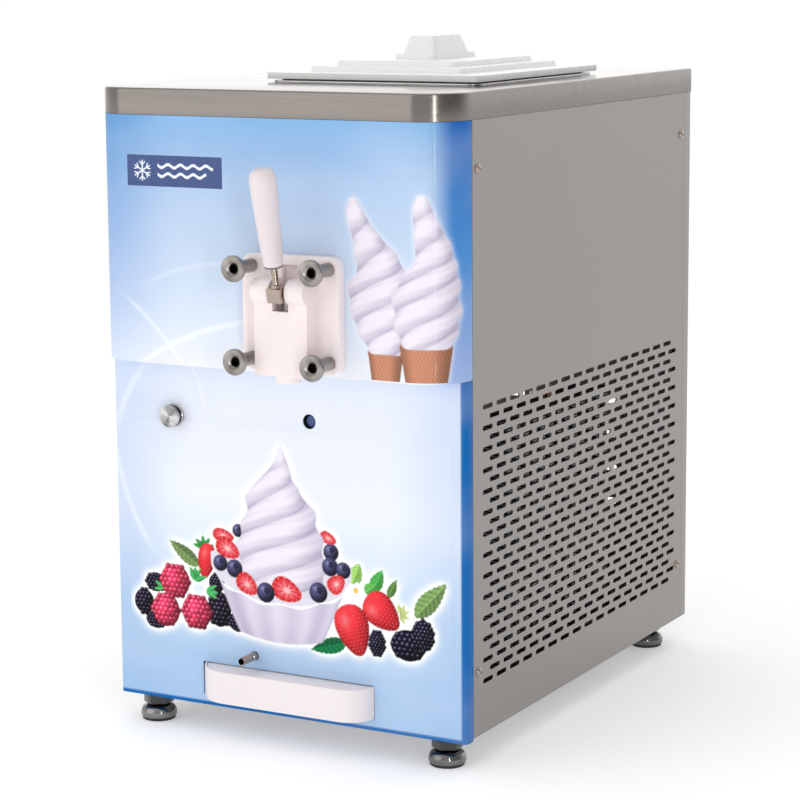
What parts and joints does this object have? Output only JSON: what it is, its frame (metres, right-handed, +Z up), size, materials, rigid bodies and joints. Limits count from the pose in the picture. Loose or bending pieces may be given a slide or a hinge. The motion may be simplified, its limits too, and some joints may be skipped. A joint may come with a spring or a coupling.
{
  "type": "ice cream maker",
  "caption": "Countertop soft-serve freezer: steel casing, printed front, dispensing door with a swinging lever, lift-off hopper lid, drip tray, levelling feet and a belt-driven beater.",
  "frame": {"origin": "centre of the footprint's bounding box, on the surface that the feet stand on", "axes": "+Z up; the front, with the lever and the dispensing door, faces -Y; +X is to the right as seen from the front"},
  "size_m": [0.41, 0.6692, 0.7115],
  "materials": {
    "brushed_steel": "fine brushed stainless steel",
    "polished_steel": "turned and polished stainless steel",
    "blue_print": "glossy printed film on sheet steel",
    "pale_print": "glossy printed film on sheet steel",
    "white_plastic": "moulded food-safe plastic, satin",
    "black_rubber": "moulded rubber",
    "zinc_steel": "zinc-plated folded sheet",
    "foam": "poured rigid foam",
    "black_paint": "black enamel",
    "grey_paint": "grey machine paint",
    "aluminium": "mill finish",
    "copper": "drawn copper",
    "black_plastic": "moulded",
    "blue_plastic": "moulded",
    "grey_plastic": "moulded"
  },
  "bodies": {
    "chassis": {"left_side_panel": "brushed_steel", "right_side_panel": "brushed_steel", "rear_panel": "brushed_steel", "top_cap": "brushed_steel", "hopper": "brushed_steel", "freezing_cylinder": "brushed_steel", "door_stud_1": "polished_steel", "door_stud_2": "polished_steel", "door_stud_3": "polished_steel", "door_stud_4": "polished_steel", "lever_pivot_pin": "polished_steel", "drain_tube": "polished_steel", "button_housing": "polished_steel", "front_bonnet": "blue_print", "lower_front_panel": "pale_print", "mix_feed_tube": "white_plastic", "dispensing_door": "white_plastic", "shaft_seal": "black_rubber", "door_gasket": "black_rubber", "drive_belt": "black_rubber", "base_pan": "zinc_steel", "mid_shelf": "zinc_steel", "front_left_post": "zinc_steel", "front_right_post": "zinc_steel", "rear_left_post": "zinc_steel", "rear_right_post": "zinc_steel", "insulation_jacket": "foam", "compressor": "black_paint", "fan_shroud": "black_paint", "fan_motor": "black_paint", "gearbox": "grey_paint", "drive_motor": "grey_paint", "condenser": "aluminium", "filter_drier": "copper", "discharge_pipe": "copper", "suction_pipe": "copper", "power_inlet": "black_plastic", "control_box": "grey_plastic"},
    "lever": {"lever_arm": "polished_steel", "lever_grip": "white_plastic"},
    "plunger": {"draw_plunger": "white_plastic", "plunger_ring": "black_rubber"},
    "nut_1": {"door_nut_1": "polished_steel"},
    "nut_2": {"door_nut_2": "polished_steel"},
    "nut_3": {"door_nut_3": "polished_steel"},
    "nut_4": {"door_nut_4": "polished_steel"},
    "agitator": {"beater": "white_plastic", "drive_shaft": "polished_steel"},
    "big_pulley": {"gearbox_pulley": "aluminium"},
    "small_pulley": {"motor_pulley": "aluminium"},
    "fan": {"fan_blade": "aluminium"},
    "lid": {"hopper_lid": "white_plastic", "lid_gasket": "grey_plastic"},
    "tray": {"drip_tray": "white_plastic"},
    "button": {"push_button": "polished_steel"},
    "reset": {"reset_button": "blue_plastic"},
    "front_left_leveller": {"front_left_foot": "polished_steel"},
    "front_right_leveller": {"front_right_foot": "polished_steel"},
    "rear_left_leveller": {"rear_left_foot": "polished_steel"},
    "rear_right_leveller": {"rear_right_foot": "polished_steel"}
  },
  "joints": [
    {"name": "lever_swing", "type": "hinge", "parent": "chassis", "child": "lever", "pos_m": [0.038, -0.2895, 0.4755], "axis": [1, 0, 0], "range_deg": [0, 60]},
    {"name": "plunger_lift", "type": "slide", "parent": "chassis", "child": "plunger", "axis": [0, 0, 1], "range_m": [0, 0.0131]},
    {"name": "nut_1_turn", "type": "hinge", "parent": "chassis", "child": "nut_1", "pos_m": [-0.0053, -0.2915, 0.4975], "axis": [0, 1, 0], "continuous": true},
    {"name": "nut_2_turn", "type": "hinge", "parent": "chassis", "child": "nut_2", "pos_m": [0.0813, -0.2915, 0.4975], "axis": [0, 1, 0], "continuous": true},
    {"name": "nut_3_turn", "type": "hinge", "parent": "chassis", "child": "nut_3", "pos_m": [-0.0053, -0.2915, 0.4065], "axis": [0, 1, 0], "continuous": true},
    {"name": "nut_4_turn", "type": "hinge", "parent": "chassis", "child": "nut_4", "pos_m": [0.0813, -0.2915, 0.4065], "axis": [0, 1, 0], "continuous": true},
    {"name": "agitator_turn", "type": "hinge", "parent": "chassis", "child": "agitator", "pos_m": [0.038, -0.1115, 0.452], "axis": [0, 1, 0], "continuous": true},
    {"name": "big_pulley_turn", "type": "hinge", "parent": "chassis", "child": "big_pulley", "pos_m": [0.038, 0.1725, 0.452], "axis": [0, 1, 0], "continuous": true},
    {"name": "small_pulley_turn", "type": "hinge", "parent": "chassis", "child": "small_pulley", "pos_m": [-0.115, 0.1725, 0.43], "axis": [0, 1, 0], "continuous": true},
    {"name": "fan_spin", "type": "hinge", "parent": "chassis", "child": "fan", "pos_m": [0.105, 0.0685, 0.19], "axis": [1, 0, 0], "continuous": true},
    {"name": "lid_lift", "type": "slide", "parent": "chassis", "child": "lid", "axis": [0, 0, 1], "range_m": [0, 0.15]},
    {"name": "tray_pull", "type": "slide", "parent": "chassis", "child": "tray", "axis": [0, -1, 0], "range_m": [0, 0.14]},
    {"name": "button_push", "type": "slide", "parent": "chassis", "child": "button", "axis": [0, 1, 0], "range_m": [0, 0.003], "stiffness_N_per_m": 800},
    {"name": "reset_push", "type": "slide", "parent": "chassis", "child": "reset", "axis": [0, 1, 0], "range_m": [0, 0.002], "stiffness_N_per_m": 800},
    {"name": "front_left_foot_turn", "type": "hinge", "parent": "chassis", "child": "front_left_leveller", "pos_m": [-0.172, -0.2065, 0.01], "axis": [0, 0, 1], "continuous": true},
    {"name": "front_right_foot_turn", "type": "hinge", "parent": "chassis", "child": "front_right_leveller", "pos_m": [0.172, -0.2065, 0.01], "axis": [0, 0, 1], "continuous": true},
    {"name": "rear_left_foot_turn", "type": "hinge", "parent": "chassis", "child": "rear_left_leveller", "pos_m": [-0.172, 0.2935, 0.01], "axis": [0, 0, 1], "continuous": true},
    {"name": "rear_right_foot_turn", "type": "hinge", "parent": "chassis", "child": "rear_right_leveller", "pos_m": [0.172, 0.2935, 0.01], "axis": [0, 0, 1], "continuous": true}
  ],
  "couplings": [
    {"joint": "plunger_lift", "follows": "lever_swing", "m_per_rad": 0.0124},
    {"joint": "big_pulley_turn", "follows": "agitator_turn", "ratio": 8},
    {"joint": "small_pulley_turn", "follows": "agitator_turn", "ratio": 21.091}
  ]
}
